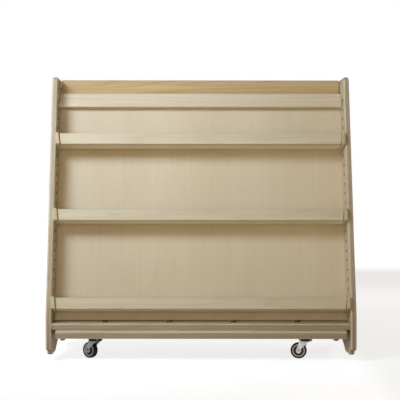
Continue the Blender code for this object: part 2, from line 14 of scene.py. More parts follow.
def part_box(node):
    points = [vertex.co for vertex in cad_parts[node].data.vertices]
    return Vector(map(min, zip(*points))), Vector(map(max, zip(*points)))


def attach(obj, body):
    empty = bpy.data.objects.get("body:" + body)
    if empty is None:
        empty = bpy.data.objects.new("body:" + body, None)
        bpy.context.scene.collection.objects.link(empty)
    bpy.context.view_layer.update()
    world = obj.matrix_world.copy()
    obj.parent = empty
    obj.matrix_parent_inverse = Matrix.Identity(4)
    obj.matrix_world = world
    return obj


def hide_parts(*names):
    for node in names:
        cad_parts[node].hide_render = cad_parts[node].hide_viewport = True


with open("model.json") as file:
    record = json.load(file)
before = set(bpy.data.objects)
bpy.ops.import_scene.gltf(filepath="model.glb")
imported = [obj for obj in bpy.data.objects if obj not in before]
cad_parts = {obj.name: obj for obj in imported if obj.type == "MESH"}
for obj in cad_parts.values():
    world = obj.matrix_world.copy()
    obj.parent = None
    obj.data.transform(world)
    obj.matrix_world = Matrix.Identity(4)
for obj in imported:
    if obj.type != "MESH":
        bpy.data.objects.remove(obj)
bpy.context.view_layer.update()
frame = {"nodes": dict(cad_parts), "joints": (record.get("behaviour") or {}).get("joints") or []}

# Side panels
PANEL_LOW, PANEL_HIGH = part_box("right_side_panel")
INNER_X = PANEL_LOW.x
PANEL_THICKNESS = PANEL_HIGH.x - PANEL_LOW.x
HALF_DEPTH = PANEL_HIGH.y
PANEL_HEIGHT = PANEL_HIGH.z
TOP_DEPTH = 0.197
KNEE_HEIGHT = 0.146
PANEL_EDGE_ROUND = 0.0055
TOP_CORNER_RADIUS = 0.022
KNEE_RADIUS = 0.060
FOOT_CORNER_HEIGHT = 0.0385
FOOT_HEIGHT = 0.021
FOOT_SETBACK = 0.045
FOOT_LENGTH = 0.093
FOOT_RADIUS = 0.007
ARCH_RISE = 0.035
ARCH_POINTS = 24
HAND_HOLE_LENGTH = 0.046
HAND_HOLE_HEIGHT = 0.022
HAND_HOLE_INSET = 0.045
HAND_HOLE_RISE = 0.006
HAND_HOLE_ROUND = 0.002
HAND_HOLE_END_SHARE = 0.999
PIN_HOLE_RADIUS = 0.0045
PIN_HOLE_DEPTH = 0.012
PIN_HOLE_INSET = 0.048
PIN_HOLE_PITCH = 0.0312
PIN_HOLE_MARGIN = 0.006
SLEEVE_RADIUS = 0.0043
SLEEVE_BORE = 0.0032
SLEEVE_PROUD = 0.0012
SLEEVE_ROUND = 0.0004
SLEEVE_STEPS = 16

# Boards
BOARD_ROUND = 0.0028
BOARD_ROUNDS = (BOARD_ROUND,) * 4
RIDGE_ROUNDS = (0.0075, 0.0025, 0.0025, 0.0075)
BASE_ROUNDS = (0.0055, 0.002, 0.002, 0.0055)
CASTER_BOARD_ROUNDS = (0.012, 0.003, 0.003, 0.003)
DISPLAY_ROUNDS = (0.0006,) * 4
END_ROUND_SHARE = 0.8
SHELF_ROUND = 0.0018
CLEARANCE = 0.0003
SHELF_NOSE_DEPTH = 0.052
SHELF_BOARD_THICKNESS = 0.006
LIP_ROUND = 0.0016
LIP_END_GAP = 0.0022
CHEEK_CORNER_RADIUS = 0.010
CHEEK_FOOT_RADIUS = 0.0045
CHEEK_BEHIND_PEG = 0.010
CHEEK_TOP_THICKNESS = 0.0085
CHEEK_TAPER = 0.14
CHEEK_ROUND = 0.0030
PEG_RADIUS = 0.004
PEG_LENGTH = 0.0105
RIDGE_END_GAP = 0.0035
RIDGE_TENON_ROOT = 0.020
RIDGE_TENON_RADIUS = 0.005
RIDGE_TENON_DEPTH = 0.010
RIDGE_TENON_SHARES = (0.25, 0.75)

# Bolt heads on the base board
BOLT_PLACES_X = (-0.298, -0.098, 0.102, 0.302)
BOLT_SETBACK = 0.046
BOLT_RADIUS = 0.0092
BOLT_HEIGHT = 0.0058
BOLT_SOCKET_RADIUS = 0.0032
BOLT_SOCKET_DEPTH = 0.0030
BOLT_FOOT_ROUND_SHARE = 0.1
DOME_SHARE = 0.8

# Casters, in a frame on the floor under the swivel with +X along the trail
WHEEL_RADIUS = 0.026
WHEEL_WIDTH = 0.018
RIM_RADIUS = 0.0200
RIM_WIDTH = 0.016
RIM_THICKNESS = 0.0038
RIM_INNER_ROUND = 0.0012
RIM_OUTER_ROUND = 0.0006
HUB_RADIUS = 0.007
HUB_REACH = 0.0106
HUB_ROUND = 0.0006
HUB_FILLET = 0.001
WEB_WIDTH = 0.008
TREAD_CROWN = 0.0012
TYRE_SHOULDER = 0.0032
TYRE_BEAD_ROUND = 0.0005
CROWN_RADIUS = 0.030
PLATE_SIZE = 0.056
PLATE_THICKNESS = 0.0025
PLATE_CORNER_RADIUS = 0.006
PLATE_ROUND_SHARE = 0.2
PLATE_ROUND_SEGMENTS = 2
SCREW_PITCH = 0.042
SCREW_RADIUS = 0.0036
SCREW_HEIGHT = 0.0021
RECESS_LENGTH = 0.0042
RECESS_WIDTH = 0.0009
RECESS_DEPTH = 0.0011
RACE_RADIUS = 0.022
RACE_WAIST = 0.018
RACE_ROUND = 0.001
RACE_WAIST_ROUND = 0.0008
KINGPIN_RADIUS = 0.004
KINGPIN_HEAD_RADIUS = 0.0065
KINGPIN_HEAD_HEIGHT = 0.0018
RUNNING_GAP = 0.0004
SWIVEL_GAP = 0.0006
FORK_THICKNESS = 0.0025
FORK_INSIDE = 0.011
FORK_CROWN_LENGTH = 0.036
FORK_BEND_RADIUS = 0.0036
FORK_BOSS_RADIUS = 0.008
FORK_BOSS_START = math.radians(10)
FORK_BOSS_SWEEP = math.radians(220)
FORK_WAIST = 0.004
SKIRT_RADIUS = 0.0205
SKIRT_DROP = 0.0085
SKIRT_ROUND = 0.0012
AXLE_RADIUS = 0.003
WASHER_RADIUS = 0.0054
WASHER_THICKNESS = 0.0009
WASHER_ROUND_SHARE = 0.4
NUT_RADIUS = 0.0052
NUT_HEIGHT = 0.0026
NUT_ROUND_SHARE = 0.12
NUT_ROUND_SEGMENTS = 2
AXLE_OVERLAP = 0.0002

# Facets and Boolean steps
FILLET_STEPS = 8
TURN_STEPS = 64
SMALL_STEPS = 24
ROUND_SEGMENTS = 4
SHARP_ANGLE = math.radians(38)
RIM_ANGLE = math.radians(50)
SPIN_MERGE = 1e-6
SPIN_DEGENERATE = 1e-7
CUT_MERGE = 2e-6
CUT_FLAT_ANGLE = 0.002
# A cutter is this many times longer than what it has to pass
THROUGH = 4

# Wood: spot sizes along and across the grain, and how much each part of it counts
RING_SPOTS = (1.3, 0.075)
RING_DENSITY = 75.0
RING_SHARPNESS = 3.0
RING_SHARE = 0.22
RING_BUMP_SHARE = 0.4
STREAK_SPOTS = (0.50, 0.016)
STREAK_RANGE = (0.3, 0.7)
STREAK_SHARE = 0.75
FIBRE_SPOTS = (0.05, 0.0011)
FIBRE_RANGE = (0.2, 0.8)
FIBRE_SHARE = 0.35
TONE_SPOTS = (0.9, 0.14)
TONE_SHARE = 0.45
MEAN_DEPTH = 0.38
FLECK_SPOTS = (0.012, 0.0010)
FLECK_RANGE = (0.62, 0.74)
FLECK_SHARE = 0.30
END_GRAIN_RANGE = (0.75, 0.95)
END_GRAIN_SHARE = 0.42
EDGE_TONE_RANGE = (0.35, 0.06)
# Heights over which the panel edges darken towards the feet: painted shade
FOOT_SHADE_HEIGHTS = (0.10, 0.20)
WOOD_WEAR_RADIUS = 0.004
WOOD_WEAR_SHARES = (0.10, 0.45)
WOOD_ROUGHNESS = (0.48, 0.62)
WOOD_SPECULAR = 0.08
WOOD_BUMP = (0.12, 0.0004)

# Metal
CLOUD_SIZE = 0.011
CLOUD_RANGE = (0.35, 0.70)
SCRATCH_RANGE = (0.25, 0.75)
METAL_WEAR_RADIUS = 0.0012
METAL_WEAR_SHARE = 0.5
METAL_SMOOTHER = 0.07
METAL_ROUGHER = 0.10
METAL_BUMP = (0.10, 0.0002)

# Plastic and rubber
DUST_SIZE = 0.008
DUST_RANGE = (0.42, 0.78)
SCUFF_RANGE = (0.3, 0.8)
MOULD_GRAIN = 0.0006
MOULD_WEAR_RADIUS = 0.0015
MOULD_WEAR_SHARE = 0.35
MOULD_ROUGHER = 0.15
MOULD_SPECULAR = 0.22
MOULD_BUMP = (0.15, 0.0002)

# Where the rounded normal leaves the true one, from no edge to a full edge
EDGE_DOTS = (0.98, 0.80)
EDGE_SAMPLES = 4

# Camera and light: the key is for the upper left, the fill for the front, the side light for the inside
# of the right panel, and the back light for the views from behind
CAMERA_PLACE = (-0.05, -4.09, 0.488)
CAMERA_ROLL = math.radians(0.05)
CAMERA_LENS = 111.0
CAMERA_SHIFT = (0.0376, 0.0125)
LIGHTS = {
    "key": {"place": (-1.395, -2.335, 1.763), "aim": (-0.50, -0.05, 0.98), "size": (1.0, 0.8),
            "spread": 59, "power": 8.0, "colour": (0.875, 1.0, 1.19)},
    "fill": {"place": (-0.4, -4.6, 0.6), "aim": (0.0, -0.1, 0.45), "size": (1.1, 1.1),
             "spread": 180, "power": 44.2, "colour": (1.0, 0.866, 0.665)},
    "side": {"place": (-3.0, -1.1, 0.8), "aim": (0.46, -0.2, 0.66), "size": (1.2, 1.2),
             "spread": 60, "power": 2.6, "colour": (1.0, 1.0, 0.97)},
    "back": {"place": (2.2, 4.2, 1.3), "aim": (0.1, 0.15, 0.5), "size": (1.2, 1.2),
             "spread": 60, "power": 6.0, "colour": (1.0, 0.93, 0.82)},
}
AMBIENT = (0.16, 0.125, 0.075, 1.0)

# The floor glows white where it is seen, less near the trolley, and less again in a painted shadow, a grey
# patch at the right, and throws a warmer light back at the trolley
FLOOR_SIZE = 60.0
FLOOR_COLOUR = (0.74, 0.81, 0.97, 1.0)
FLOOR_BOUNCE = (0.86, 0.79, 0.64, 1.0)
FLOOR_GLOW = 0.77
FLOOR_GLOW_NEAR = 1.0
FLOOR_GLOW_FAR = 2.6
FLOOR_PAINTED_SHADOW = 0.32
FLOOR_PAINTED_SHADOW_ACROSS = (0.20, 0.55)
FLOOR_PAINTED_SHADOW_BACK = (6.2, 4.8)

# Frames of the sloping halves
LEAN = math.atan2(HALF_DEPTH - TOP_DEPTH / 2, PANEL_HEIGHT - KNEE_HEIGHT)
HALVES = {"front": Matrix.Identity(4), "rear": Matrix.Rotation(math.pi, 4, "Z")}
SLOPE = Matrix.Translation((0, -HALF_DEPTH, KNEE_HEIGHT)) @ Matrix.Rotation(-LEAN, 4, "X")
SLOPES = {half: turn @ SLOPE for half, turn in HALVES.items()}
LEVELS = ("low", "middle", "top")
# An outline's own X and Y become depth and height, and its thickness lies along X
DEPTH_AND_HEIGHT = Matrix(((0, 0, 1, 0), (1, 0, 0, 0), (0, 1, 0, 0), (0, 0, 0, 1)))


def own_box(node, place):
    """A node's lowest and highest corners in a frame of its own."""
    inverse = place.inverted()
    corners = [inverse @ vertex.co for vertex in frame["nodes"][node].data.vertices]
    return Vector(map(min, *corners)), Vector(map(max, *corners))


class Tree:
    """One material's nodes. An input takes a number or another node's output."""

    def __init__(self, name):
        self.material = bpy.data.materials.new(name)
        self.material.use_nodes = True
        self.nodes = self.material.node_tree.nodes
        self.links = self.material.node_tree.links
        self.shader = self.nodes["Principled BSDF"]
        coordinates = self.nodes.new("ShaderNodeTexCoord")
        self.place = coordinates.outputs["Object"]
        self.facing = coordinates.outputs["Normal"]

    def put(self, socket, value):
        if isinstance(value, bpy.types.NodeSocket):
            self.links.new(value, socket)
        else:
            socket.default_value = value

    def add(self, kind, inputs, output=0, **settings):
        node = self.nodes.new(kind)
        for key, value in settings.items():
            setattr(node, key, value)
        for key, value in inputs.items():
            self.put(node.inputs[key], value)
        return node.outputs[output]

    def noise(self, size, detail=2.0, roughness=0.5, distortion=0.0):
        """Noise whose spots have the given sizes along a piece's own axes."""
        vector = self.add("ShaderNodeMapping", {"Vector": self.place, "Scale": size}, vector_type="TEXTURE")
        return self.add("ShaderNodeTexNoise", {"Vector": vector, "Scale": 1.0, "Detail": detail,
                                               "Roughness": roughness, "Distortion": distortion})

    def math(self, operation, first, second=0.0):
        return self.add("ShaderNodeMath", {0: first, 1: second}, operation=operation)

    def remap(self, value, low, high, to_low=0.0, to_high=1.0):
        return self.add("ShaderNodeMapRange", {"Value": value, "From Min": low, "From Max": high,
                                               "To Min": to_low, "To Max": to_high})

    def mix(self, factor, first, second, blend="MIX"):
        return self.add("ShaderNodeMix", {0: factor, 6: first, 7: second}, output=2,
                        data_type="RGBA", blend_type=blend)

    def coordinate(self, axis):
        """Where the surface lies along one of a piece's own axes, X, Y or Z."""
        return self.add("ShaderNodeSeparateXYZ", {0: self.place}, output=axis)

    def along(self, axis):
        """How squarely the surface faces along an axis, from 0 to 1."""
        dot = self.add("ShaderNodeVectorMath", {0: self.facing, 1: axis}, output="Value",
                       operation="DOT_PRODUCT")
        return self.math("ABSOLUTE", dot)

    def edges(self, radius):
        """Where the surface turns over an edge, from 0 to 1."""
        rounded = self.add("ShaderNodeBevel", {"Radius": radius}, samples=EDGE_SAMPLES)
        true = self.nodes.new("ShaderNodeNewGeometry").outputs["Normal"]
        dot = self.add("ShaderNodeVectorMath", {0: rounded, 1: true}, output="Value",
                       operation="DOT_PRODUCT")
        return self.remap(dot, *EDGE_DOTS)

    def bump(self, height, strength, distance):
        normal = self.add("ShaderNodeBump", {"Height": height, "Strength": strength, "Distance": distance})
        self.put(self.shader.inputs["Normal"], normal)


def srgb(red, green, blue):
    """A colour written as in a picture, in the renderer's linear values."""
    linear = [((c / 255 + 0.055) / 1.055) ** 2.4 for c in (red, green, blue)]
    return (*linear, 1.0)


def wood(name, pale, deep, worn, grain, figure=1.0, across=None, edge=1.0, foot_shade=None):
    """Lacquered maple: rings, streaks, fibres and short flecks drawn out along one axis.

    A board given an axis across it has darker edges all round that axis; on the panels the edges darken
    further towards the feet, which is painted shade.
    """
    tree = Tree(name)

    def spots(length, width):
        return [length if axis == grain else width for axis in range(3)]

    field = tree.noise(spots(*RING_SPOTS), detail=1.5, distortion=0.25)
    waves = tree.math("SINE", tree.math("MULTIPLY", field, RING_DENSITY))
    rings = tree.math("POWER", tree.remap(waves, -1.0, 1.0), RING_SHARPNESS)
    streaks = tree.noise(spots(*STREAK_SPOTS), detail=3.0)
    fibres = tree.noise(spots(*FIBRE_SPOTS), detail=2.0)
    tones = tree.noise(spots(*TONE_SPOTS), detail=1.0)
    flecks = tree.remap(tree.noise(spots(*FLECK_SPOTS), detail=1.0), *FLECK_RANGE)

    depth = tree.math("MULTIPLY", rings, RING_SHARE * figure)
    for part, share in ((streaks, STREAK_SHARE * figure), (fibres, FIBRE_SHARE), (tones, TONE_SHARE)):
        centred = tree.math("MULTIPLY", tree.math("SUBTRACT", part, 0.5), share)
        depth = tree.math("ADD", depth, centred)
    depth = tree.math("ADD", depth, MEAN_DEPTH)
    colour = tree.mix(depth, pale, deep)
    colour = tree.mix(tree.math("MULTIPLY", flecks, FLECK_SHARE), colour, worn)

    if across is None:
        ends = tree.remap(tree.along(spots(1.0, 0.0)), *END_GRAIN_RANGE, 0.0, END_GRAIN_SHARE)
        colour = tree.mix(ends, colour, worn)
    else:
        side = tree.along([1.0 if axis == across else 0.0 for axis in range(3)])
        tone = (edge, edge, edge, 1.0)
        # Painted shade: a panel's edges darken towards the feet, where less light falls low down
        if foot_shade is not None:
            tone = tree.remap(tree.coordinate("Z"), *FOOT_SHADE_HEIGHTS, foot_shade, edge)
        colour = tree.mix(tree.remap(side, *EDGE_TONE_RANGE), colour, tone, "MULTIPLY")
    rubbed = tree.math("MULTIPLY", tree.edges(WOOD_WEAR_RADIUS),
                       tree.remap(streaks, *STREAK_RANGE, *WOOD_WEAR_SHARES))
    colour = tree.mix(rubbed, colour, pale)

    tree.put(tree.shader.inputs["Base Color"], colour)
    tree.put(tree.shader.inputs["Roughness"], tree.remap(fibres, *FIBRE_RANGE, *WOOD_ROUGHNESS))
    tree.put(tree.shader.inputs["Specular IOR Level"], WOOD_SPECULAR)
    tree.bump(tree.math("ADD", fibres, tree.math("MULTIPLY", rings, RING_BUMP_SHARE)), *WOOD_BUMP)
    return tree.material


def metal(name, bright, dull, roughness, grain):
    """Plated metal with a cloudy surface, fine scratches and brighter edges."""
    tree = Tree(name)
    clouds = tree.noise((CLOUD_SIZE,) * 3, detail=3.0)
    scratches = tree.noise((grain,) * 3, detail=2.0)
    colour = tree.mix(tree.remap(clouds, *CLOUD_RANGE), bright, dull)
    worn = tree.math("MULTIPLY", tree.edges(METAL_WEAR_RADIUS), METAL_WEAR_SHARE)
    colour = tree.mix(worn, colour, bright)
    tree.put(tree.shader.inputs["Base Color"], colour)
    tree.put(tree.shader.inputs["Metallic"], 1.0)
    tree.put(tree.shader.inputs["Roughness"],
             tree.remap(scratches, *SCRATCH_RANGE, roughness - METAL_SMOOTHER, roughness + METAL_ROUGHER))
    tree.bump(scratches, *METAL_BUMP)
    return tree.material


def moulded(name, clean, dusty, roughness):
    """Moulded plastic or rubber: a fine grain, and dust where it is scuffed."""
    tree = Tree(name)
    dust = tree.noise((DUST_SIZE,) * 3, detail=4.0, roughness=0.65)
    grains = tree.noise((MOULD_GRAIN,) * 3, detail=1.0)
    colour = tree.mix(tree.remap(dust, *DUST_RANGE), clean, dusty)
    worn = tree.math("MULTIPLY", tree.edges(MOULD_WEAR_RADIUS), MOULD_WEAR_SHARE)
    colour = tree.mix(worn, colour, dusty)
    tree.put(tree.shader.inputs["Base Color"], colour)
    tree.put(tree.shader.inputs["Roughness"],
             tree.remap(dust, *SCUFF_RANGE, roughness, roughness + MOULD_ROUGHER))
    tree.put(tree.shader.inputs["Specular IOR Level"], MOULD_SPECULAR)
    tree.bump(grains, *MOULD_BUMP)
    return tree.material


MAPLE = {"pale": srgb(216, 205, 182), "deep": srgb(190, 172, 141), "worn": srgb(168, 140, 98)}
# The shelf boards are paler than the other maple: painted light on their undersides, which show under the
# lips
SHELF_PAINTED_LIGHT = {"pale": srgb(246, 240, 220), "deep": srgb(220, 206, 174), "worn": srgb(186, 158, 114)}
LIP = {"pale": srgb(214, 206, 182), "deep": srgb(192, 178, 148), "worn": srgb(178, 150, 106)}
PINE = {"pale": srgb(196, 175, 134), "deep": srgb(172, 146, 98), "worn": srgb(148, 112, 62)}
ALONG_X = 0
FRONT_TO_BACK = 1
UPRIGHT = 2
WOODS = {
    "panel_wood": dict(MAPLE, grain=UPRIGHT, figure=0.7, across=ALONG_X, edge=0.70, foot_shade=0.50),
    "base_wood": dict(MAPLE, grain=ALONG_X, across=UPRIGHT, edge=0.57),
    "rail_wood": dict(MAPLE, grain=ALONG_X),
    "lip_wood": dict(LIP, grain=ALONG_X),
    "shelf_wood": dict(SHELF_PAINTED_LIGHT, grain=ALONG_X),
    "display_wood": dict(MAPLE, grain=UPRIGHT, figure=0.3),
    "cheek_wood": dict(LIP, grain=FRONT_TO_BACK),
    "ridge_wood": dict(PINE, grain=ALONG_X, figure=1.6),
}
METALS = {
    "zinc_plate": dict(bright=srgb(198, 202, 204), dull=srgb(162, 166, 168), roughness=0.58, grain=0.0009),
    "bright_steel": dict(bright=srgb(158, 160, 160), dull=srgb(128, 130, 130), roughness=0.44, grain=0.0006),
    "bronze_bolt": dict(bright=srgb(104, 74, 44), dull=srgb(76, 52, 32), roughness=0.46, grain=0.0007),
}
MOULDINGS = {
    "wheel_grey": dict(clean=srgb(220, 228, 240), dusty=srgb(196, 204, 214), roughness=0.42),
    # The hub and web are dark brown: painted shade in the recess inside the rim
    "hub_shade_brown": dict(clean=srgb(62, 40, 32), dusty=srgb(86, 64, 52), roughness=0.50),
    # Dark brown sleeves: partly their own colour, partly painted shade inside the holes
    "sleeve_brown_and_shade": dict(clean=srgb(70, 46, 26), dusty=srgb(96, 68, 42), roughness=0.50),
    # Black for the race and the fork's skirt: partly a dark dust seal, partly painted shade between the
    # plate and the fork
    "seal_black_and_shade": dict(clean=srgb(34, 30, 27), dusty=srgb(60, 54, 48), roughness=0.48),
    "tyre_rubber": dict(clean=srgb(10, 10, 10), dusty=srgb(26, 26, 26), roughness=0.60),
}
MATERIALS = {name: make(name, **look)
             for make, looks in ((wood, WOODS), (metal, METALS), (moulded, MOULDINGS))
             for name, look in looks.items()}


def filleted(corners):
    """An outline whose corners, given as a point and a radius, are turned into arcs."""
    points = []
    count = len(corners)
    for index, (corner, radius) in enumerate(corners):
        here = Vector(corner)
        if radius == 0.0:
            points.append(here)
            continue
        before = (Vector(corners[index - 1][0]) - here).normalized()
        after = (Vector(corners[(index + 1) % count][0]) - here).normalized()
        half = before.angle(after) / 2
        centre = here + (before + after).normalized() * (radius / math.sin(half))
        start = here + before * (radius / math.tan(half)) - centre
        sweep = start.angle_signed(here + after * (radius / math.tan(half)) - centre)
        for step in range(FILLET_STEPS + 1):
            spoke = start.copy()
            spoke.rotate(Matrix.Rotation(-sweep * step / FILLET_STEPS, 2))
            points.append(centre + spoke)
    return points


def box(low, high):
    bm = bmesh.new()
    bmesh.ops.create_cube(bm, size=1.0)
    low = Vector(low)
    high = Vector(high)
    bmesh.ops.scale(bm, vec=high - low, verts=bm.verts)
    bmesh.ops.translate(bm, vec=(low + high) / 2, verts=bm.verts)
    return bm


def rods(ends):
    """Cylinders along X, each given as its two end x values, its y and z, and its radius."""
    bm = bmesh.new()
    for start, stop, y, z, radius in ends:
        turn = Matrix.Translation(((start + stop) / 2, y, z)) @ Matrix.Rotation(math.pi / 2, 4, "Y")
        bmesh.ops.create_cone(bm, cap_ends=True, segments=SMALL_STEPS, radius1=radius, radius2=radius,
                              depth=abs(stop - start), matrix=turn)
    return bm


def extruded(points, thickness, matrix=Matrix.Identity(4)):
    """A flat outline in XY given a thickness either side of it, then turned by a matrix."""
    bm = bmesh.new()
    face = bm.faces.new([bm.verts.new((u, v, -thickness / 2)) for u, v in points])
    raised = bmesh.ops.extrude_face_region(bm, geom=[face])["geom"]
    top = [item for item in raised if isinstance(item, bmesh.types.BMVert)]
    bmesh.ops.translate(bm, vec=(0, 0, thickness), verts=top)
    bmesh.ops.recalc_face_normals(bm, faces=bm.faces)
    bmesh.ops.transform(bm, matrix=matrix, verts=bm.verts)
    return bm


def inset(points, distance):
    """An anticlockwise outline moved inwards by a distance."""
    moved = []
    for index, here in enumerate(points):
        before = (here - points[index - 1]).normalized()
        after = (points[(index + 1) % len(points)] - here).normalized()
        inward = Vector((-before.y - after.y, before.x + after.x)).normalized()
        moved.append(here + inward * distance / inward.dot(Vector((-before.y, before.x))))
    return moved


def rounded_slab(points, thickness, radius, matrix):
    """An anticlockwise outline in XY given a thickness either side of it, with rounded rims."""
    under = []
    for step in range(ROUND_SEGMENTS + 1):
        angle = math.pi / 2 * step / ROUND_SEGMENTS
        under.append((radius * (1 - math.sin(angle)), radius * (1 - math.cos(angle)) - thickness / 2))
    levels = under + [(depth, -height) for depth, height in reversed(under)]
    bm = bmesh.new()
    rings = []
    for depth, height in levels:
        rings.append([bm.verts.new((u, v, height)) for u, v in inset(points, depth)])
    for lower, upper in zip(rings, rings[1:]):
        for index in range(len(points)):
            bm.faces.new((lower[index - 1], lower[index], upper[index], upper[index - 1]))
    bm.faces.new(list(reversed(rings[0])))
    bm.faces.new(rings[-1])
    bmesh.ops.transform(bm, matrix=matrix, verts=bm.verts)
    return bm


def turned(profile, steps=TURN_STEPS):
    """A closed profile of radius and height points, turned round Z."""
    bm = bmesh.new()
    loop = [bm.verts.new((radius, 0.0, height)) for radius, height in profile]
    edges = [bm.edges.new(pair) for pair in zip(loop, loop[1:] + loop[:1])]
    bmesh.ops.spin(bm, geom=loop + edges, axis=(0, 0, 1), cent=(0, 0, 0), steps=steps,
                   angle=2 * math.pi, use_duplicate=False)
    bmesh.ops.remove_doubles(bm, verts=bm.verts, dist=SPIN_MERGE)
    bmesh.ops.dissolve_degenerate(bm, edges=bm.edges, dist=SPIN_DEGENERATE)
    lone = [edge for edge in bm.edges if not edge.link_faces]
    bmesh.ops.delete(bm, geom=lone, context="EDGES")
    bmesh.ops.recalc_face_normals(bm, faces=bm.faces)
    return bm


def round_rims(bm, radius, segments=ROUND_SEGMENTS):
    """Rounds a solid's sharp edges."""
    sharp = [edge for edge in bm.edges if edge.calc_face_angle(0.0) > RIM_ANGLE]
    bmesh.ops.bevel(bm, geom=sharp, offset=radius, segments=segments, profile=0.5,
                    affect="EDGES", clamp_overlap=True)
    return bm


def carved(bm, *cuts):
    """A solid after Boolean steps, each a solid and an operation."""
    base = loose_object("carved", bm)
    cutters = []
    for cutter_bm, operation in cuts:
        cutter = loose_object("cutter", cutter_bm)
        step = base.modifiers.new("cut", "BOOLEAN")
        step.operation = operation
        step.object = cutter
        step.solver = "EXACT"
        cutters.append(cutter)
    bpy.context.view_layer.update()
    result = bmesh.new()
    result.from_object(base, bpy.context.evaluated_depsgraph_get())
    for used in [base, *cutters]:
        mesh = used.data
        bpy.data.objects.remove(used)
        bpy.data.meshes.remove(mesh)
    bmesh.ops.remove_doubles(result, verts=result.verts, dist=CUT_MERGE)
    bmesh.ops.dissolve_limit(result, angle_limit=CUT_FLAT_ANGLE, verts=result.verts, edges=result.edges)
    return result


def loose_object(name, bm):
    mesh = bpy.data.meshes.new(name)
    bm.to_mesh(mesh)
    bm.free()
    obj = bpy.data.objects.new(name, mesh)
    bpy.context.scene.collection.objects.link(obj)
    return obj


def piece(name, bm, body, slot, material=None, nodes=(), place=Matrix.Identity(4)):
    """A piece that rides on a body, takes its finish from a slot and may stand for CAD nodes."""
    obj = loose_object(name, bm)
    obj.data.shade_smooth()
    obj.data.set_sharp_from_angle(angle=SHARP_ANGLE)
    obj.data.materials.append(MATERIALS[material or slot])
    even = obj.modifiers.new("even_normals", "WEIGHTED_NORMAL")
    even.keep_sharp = True
    obj.matrix_world = place
    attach(obj, body)
    if nodes:
        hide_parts(*nodes)


def side_panel_outline():
    """The side panel's edge in depth and height, with two stepped feet and an arch between them."""
    heel = -HALF_DEPTH + FOOT_SETBACK
    arch_start = heel + FOOT_LENGTH
    front = [
        ((-TOP_DEPTH / 2, PANEL_HEIGHT), TOP_CORNER_RADIUS),
        ((-HALF_DEPTH, KNEE_HEIGHT), KNEE_RADIUS),
        ((-HALF_DEPTH, FOOT_CORNER_HEIGHT), FOOT_RADIUS),
        ((heel, FOOT_CORNER_HEIGHT), FOOT_RADIUS),
        ((heel, FOOT_HEIGHT), FOOT_RADIUS),
    ]
    for step in range(ARCH_POINTS):
        share = step / ARCH_POINTS
        rise = ARCH_RISE * (1 - (1 - share) ** 2)
        front.append(((arch_start * (1 - share), FOOT_HEIGHT + rise), 0.0))
    rear = [((-point[0], point[1]), radius) for point, radius in reversed(front)]
    crown = [((0.0, FOOT_HEIGHT + ARCH_RISE), 0.0)]
    return filleted(front + crown + rear)


def hand_hole_outline():
    """An oblong whose ends are all but half circles, so that no straight stretch has no length."""
    half = HAND_HOLE_LENGTH / 2
    rise = HAND_HOLE_HEIGHT / 2
    corners = [(half, rise), (-half, rise), (-half, -rise), (half, -rise)]
    return filleted([(corner, rise * HAND_HOLE_END_SHARE) for corner in corners])


def ridge_tenons(radius, spare):
    """The ridge board's round tenons, from inside the board to a little past their ends."""
    low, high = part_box("ridge_board")
    ends = []
    for side in (-1, 1):
        for share in RIDGE_TENON_SHARES:
            z = high.z - share * (high.z - low.z)
            ends.append((side * (INNER_X - RIDGE_TENON_ROOT),
                         side * (INNER_X + RIDGE_TENON_DEPTH + spare), 0.0, z, radius))
    return rods(ends)


def behind_cheek(half, up):
    """Whether a hole at this height up the slope is covered by a cheek."""
    for level in LEVELS:
        low, high = own_box(half + "_" + level + "_left_cheek", SLOPES[half])
        if low.z - PIN_HOLE_RADIUS < up < high.z + PIN_HOLE_RADIUS:
            return True
    return False


def hole_sleeve(side):
    """A brown cup that lines a hole, its rim a little proud of the panel's inner face; its dark brown is
    partly painted shade inside the hole.
    """
    floor = CLEARANCE - PIN_HOLE_DEPTH
    wall = SLEEVE_RADIUS - SLEEVE_BORE
    cup = turned(filleted([
        ((0, floor), 0.0), ((SLEEVE_RADIUS, floor), 0.0), ((SLEEVE_RADIUS, SLEEVE_PROUD), SLEEVE_ROUND),
        ((SLEEVE_BORE, SLEEVE_PROUD), SLEEVE_ROUND), ((SLEEVE_BORE, floor + wall), 0.0),
        ((0, floor + wall), 0.0)]), SLEEVE_STEPS)
    bmesh.ops.rotate(cup, matrix=Matrix.Rotation(-side * math.pi / 2, 3, "Y"), verts=cup.verts)
    return cup


